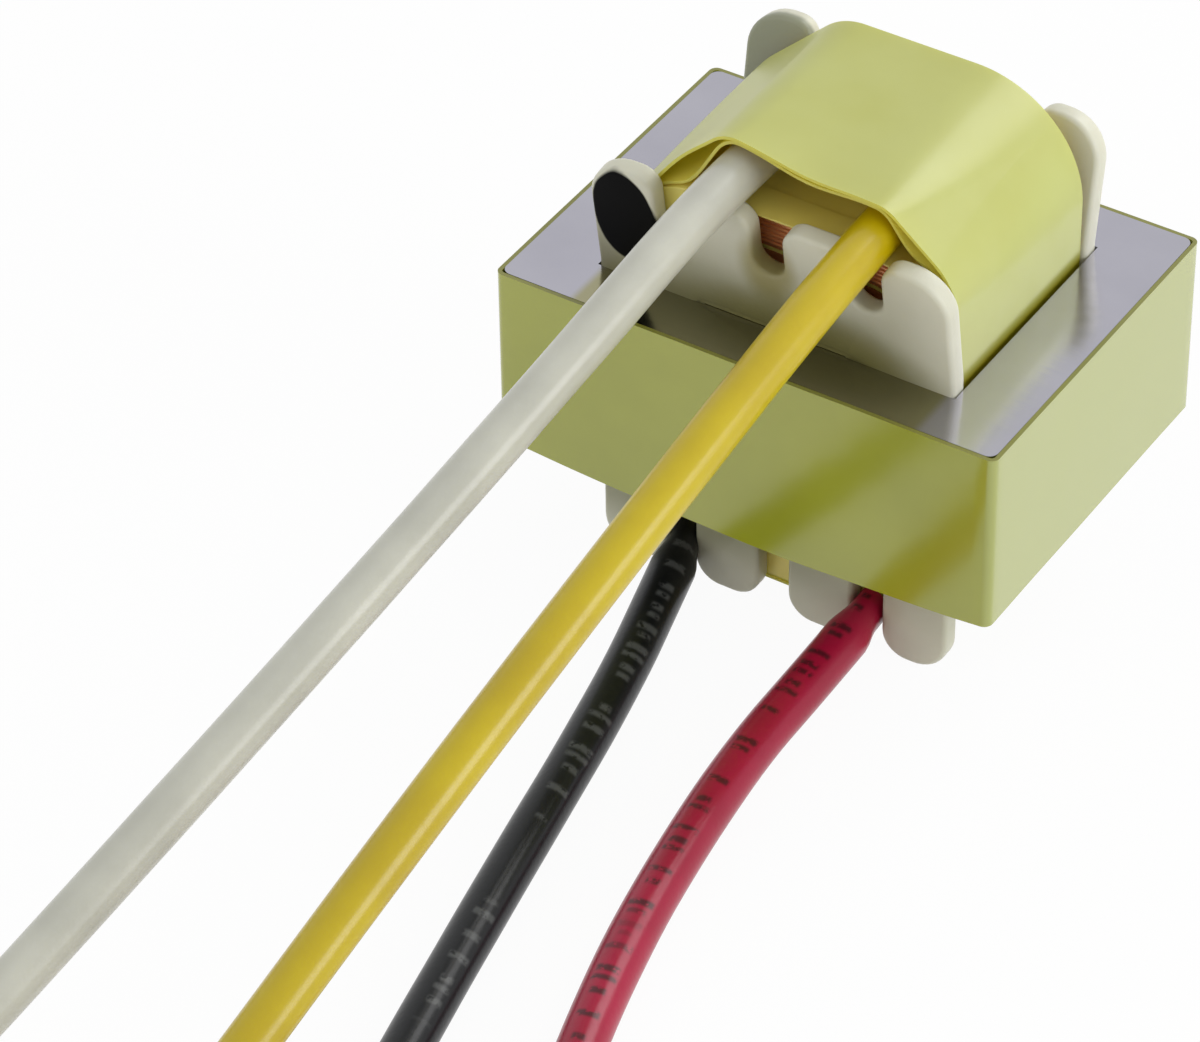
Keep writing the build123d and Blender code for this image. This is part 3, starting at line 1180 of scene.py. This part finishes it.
steel = steel_finish()
copper = copper_finish()
kept_finishes = {
    "e_lamination": steel,
    "i_lamination": steel,
    "primary_winding": copper,
    "secondary_winding": copper,
    "interwinding_tape": inner_film,
    "inner_coil_tape": inner_film,
    "splice": tinned,
}
painted = 0
for name in nodes:
    for start, finish in kept_finishes.items():
        if name.startswith(start):
            solid = bpy.data.objects[name]
            solid.data.materials.clear()
            solid.data.materials.append(finish)
            painted += 1
print("solids with a finish", painted)

# %% [markdown]
# ## Turns of wire at the ends of the coil
# Where the flange has a notch, the ends of the winding show as rows of round wire. A node tree draws one
# rounded loop, repeats it outwards by one wire each time, and sweeps a small circle along every loop.

# %% End turns
wire = 0.13 * MM
wire_points = 8
loop_width = 7.7 * MM
loop_height = 9.4 * MM
loop_corner = 1.45 * MM
corner_steps = 8
loop_count = 7
loop_depth = coil_end - 0.02 * MM


def turns_tree():
    """Loops of wire side by side round the coil, standing in X and Z at one depth."""
    shop = Workshop(
        "end_turns",
        Width=loop_width,
        Height=loop_height,
        Corner=loop_corner,
        Wire=wire,
        Depth=0.0,
        Turns=loop_count,
    )
    sides = {"Width": shop.size("Width"), "Height": shop.size("Height")}
    loop = shop.node("GeometryNodeCurvePrimitiveQuadrilateral", sides)[0]
    corner = {0: loop, "Radius": shop.size("Corner"), "Count": corner_steps}
    rounded = shop.node("GeometryNodeFilletCurve", corner, mode="POLY")[0]
    repeat = {0: rounded, "Amount": shop.size("Turns")}
    copies = shop.node("GeometryNodeDuplicateElements", repeat, domain="SPLINE")
    tangent = shop.node("GeometryNodeInputTangent")[0]
    outwards = shop.node("ShaderNodeVectorMath", {0: tangent, 1: (0, 0, 1)}, operation="CROSS_PRODUCT")[0]
    reach = shop.math("MULTIPLY", copies[1], shop.size("Wire"))
    step = shop.node("ShaderNodeVectorMath", {0: outwards, "Scale": reach}, operation="SCALE")[0]
    spread = shop.node("GeometryNodeSetPosition", {0: copies[0], "Offset": step})[0]
    section = shop.circle(wire_points, shop.math("MULTIPLY", shop.size("Wire"), 0.5))
    tubes = shop.node("GeometryNodeCurveToMesh", {0: spread, 1: section})[0]
    lifted = shop.node("ShaderNodeCombineXYZ", {"Y": shop.size("Depth"), "Z": core_middle})[0]
    upright = {0: tubes, "Translation": lifted, "Rotation": (math.pi / 2, 0, 0)}
    stood = shop.node("GeometryNodeTransform", upright)[0]
    shop.finish(shop.node("GeometryNodeSetShadeSmooth", {0: stood})[0], copper)
    return shop


turns = turns_tree()
for end, depth in (("front", -loop_depth), ("rear", loop_depth)):
    mesh = turns.make("end_turns_" + end, Depth=depth)
    piece = add_piece("end_turns_" + end, mesh)
    print(piece.name, len(mesh.polygons), "faces")

# %% [markdown]
# ## Tape over the ends of the coil
# The inner tape is wider than the winding. Above the core its front edge reaches the leaning lobes like a
# low roof, with a lip behind the left lobe, so that wire shows in the notches only. A folded pad fills the
# rear end under the outer tape. Below the core a flap covers each end of the coil. Each is made as a plate,
# and the roof and the lip lean with the lobes.

# %% Inner tape at the ends
leaning_front = -2.7 * MM


def film_plate(name, corners, radii, depths, edge, arc_steps=10, line_steps=2):
    """Piece of film by its outline in X and Z, its two depths and its edge, all in millimetres."""
    low, high = depths
    outline = outline_mm(corners, radii, arc_steps, line_steps)
    return plate_mesh(name, [outline], low * MM, high * MM, edge * MM)


def lean_front(mesh, gap):
    """Leans the front of a piece with the lobes, moved back by a gap."""
    for vertex in mesh.vertices:
        if vertex.co.y < leaning_front:
            vertex.co.y += gap - (vertex.co.z - core_top) * math.tan(lobe_splay)
    return mesh


def tape_roof():
    """Arch of thin tape over the front of the coil, with its front edge along the lobes."""
    over = [(4.82, 9.4), (4.82, 12.22), (-4.66, 12.22), (-4.66, 9.4)]
    under = [(-4.6, 9.4), (-4.6, 12.16), (4.76, 12.16), (4.76, 9.4)]
    radii = [0.0, 2.56, 2.56, 0.0, 0.0, 2.5, 2.5, 0.0]
    mesh = film_plate("tape_roof", over + under, radii, depths=(-3.0, -2.4), edge=0.005, line_steps=4)
    return lean_front(mesh, gap=0.07 * MM)


def tape_flap(name, depths):
    """Flat flap over the lower end of the coil."""
    corners = [(-4.5, 0.55), (4.5, 0.55), (4.5, 3.6), (-4.5, 3.6)]
    return film_plate(name, corners, [2.2, 2.2, 0.2, 0.2], depths, edge=0.004)


def tape_lip():
    """Flap of tape behind the left lobe and its notch, leaning with the lobes."""
    corners = [(-4.6, 10.2), (-2.0, 10.2), (-2.0, 12.1), (-4.6, 12.1)]
    radii = [0.1, 0.1, 0.1, 2.3]
    mesh = film_plate("tape_lip", corners, radii, depths=(-2.95, -2.91), edge=0.004, arc_steps=8)
    return lean_front(mesh, gap=0.04 * MM)


def tape_pad():
    """Crescent of folded tape that fills the rear end, between the coil and its outer tape."""
    outer = [(4.76, 9.5), (4.76, 11.82), (3.06, 13.53), (-1.89, 13.53), (-4.76, 10.83), (-4.76, 9.5)]
    inner = [(-4.7, 9.5), (-4.7, 12.18), (4.7, 12.18), (4.7, 9.5)]
    radii = [0.0, 2.9, 2.9, 1.45, 3.0, 0.0, 0.0, 2.45, 2.45, 0.0]
    return film_plate("tape_pad", outer + inner, radii, depths=(1.5, 2.8), edge=0.01, line_steps=4)


end_tapes = {
    "tape_roof": tape_roof(),
    "tape_pad": tape_pad(),
    "tape_lip": tape_lip(),
    "tape_flap_front": tape_flap("tape_flap_front", (-2.945, -2.915)),
    "tape_flap_rear": tape_flap("tape_flap_rear", (2.915, 2.945)),
}
for name, mesh in end_tapes.items():
    add_piece(name, mesh, inner_film)
    print(name, len(mesh.polygons), "faces")

# %% [markdown]
# ## Floor, world and lamps
# The object stands on white paper. The paper and the world look white to the camera and in reflections, by
# the Light Path node, while the light that falls on the object stays at a plain level. Of three soft lamps,
# one stands at the right, one behind, and a weak one at the front left keeps the shaded side open.

# %% Floor and world
floor_size = 3.0
world_fill = 0.6
paper_glow = 0.95


def seen_directly(shade):
    """1 for rays from the camera and for reflected or refracted ones, otherwise 0."""
    path = shade.node("LightPath")
    outputs = path.socket.node.outputs
    found = path
    for name in ("Is Glossy Ray", "Is Transmission Ray"):
        found = found.math("MAXIMUM", found, Shade(shade.tree, outputs[name]))
    return found


def add_world():
    """White backdrop that gives soft, even fill light."""
    world = bpy.data.worlds.new("studio")
    world.use_nodes = True
    shade = Shade(world.node_tree)
    background = world.node_tree.nodes["Background"]
    background.inputs["Color"].default_value = (1, 1, 1, 1)
    strength = seen_directly(shade) * (1 - world_fill) + world_fill
    world.node_tree.links.new(strength.socket, background.inputs["Strength"])
    bpy.context.scene.world = world


def add_floor():
    """White paper that keeps a soft shadow."""
    shape = bmesh.new()
    bmesh.ops.create_grid(shape, x_segments=1, y_segments=1, size=floor_size / 2)
    mesh = plain_mesh("paper", shape)
    shade, shader, material = start_finish("white_paper")
    shade.tree.nodes.remove(shader)
    lit = shade.node("BsdfDiffuse", {"Color": (0.9, 0.9, 0.9, 1)})
    glow = shade.node("Emission", {"Color": (1, 1, 1, 1), "Strength": 1.0})
    blend(shade, seen_directly(shade) * paper_glow, lit, glow)
    mesh.materials.append(material)
    floor = bpy.data.objects.new("paper", mesh)
    bpy.context.scene.collection.objects.link(floor)


add_world()
add_floor()
print("paper in m", floor_size)

# %% Lamps


def add_lamp(name, place_mm, aim_mm, size_mm, watts):
    """A square soft lamp that faces a point."""
    data = bpy.data.lights.new(name, "AREA")
    data.size = size_mm * MM
    data.energy = watts
    lamp = bpy.data.objects.new(name, data)
    lamp.location = Vector(place_mm) * MM
    lamp.rotation_euler = (Vector(aim_mm) * MM - lamp.location).to_track_quat("-Z", "Y").to_euler()
    bpy.context.scene.collection.objects.link(lamp)


add_lamp("right_softbox", place_mm=(170, 10, 70), aim_mm=(0, 0, 8), size_mm=90, watts=0.12)
add_lamp("back_strip", place_mm=(48, 165, 140), aim_mm=(0, 0, 12), size_mm=110, watts=0.15)
add_lamp("front_fill", place_mm=(-85, -155, 70), aim_mm=(0, -6, 8), size_mm=110, watts=0.045)
bpy.context.scene.view_settings.view_transform = "Standard"
print("lamps", len(bpy.data.lights))
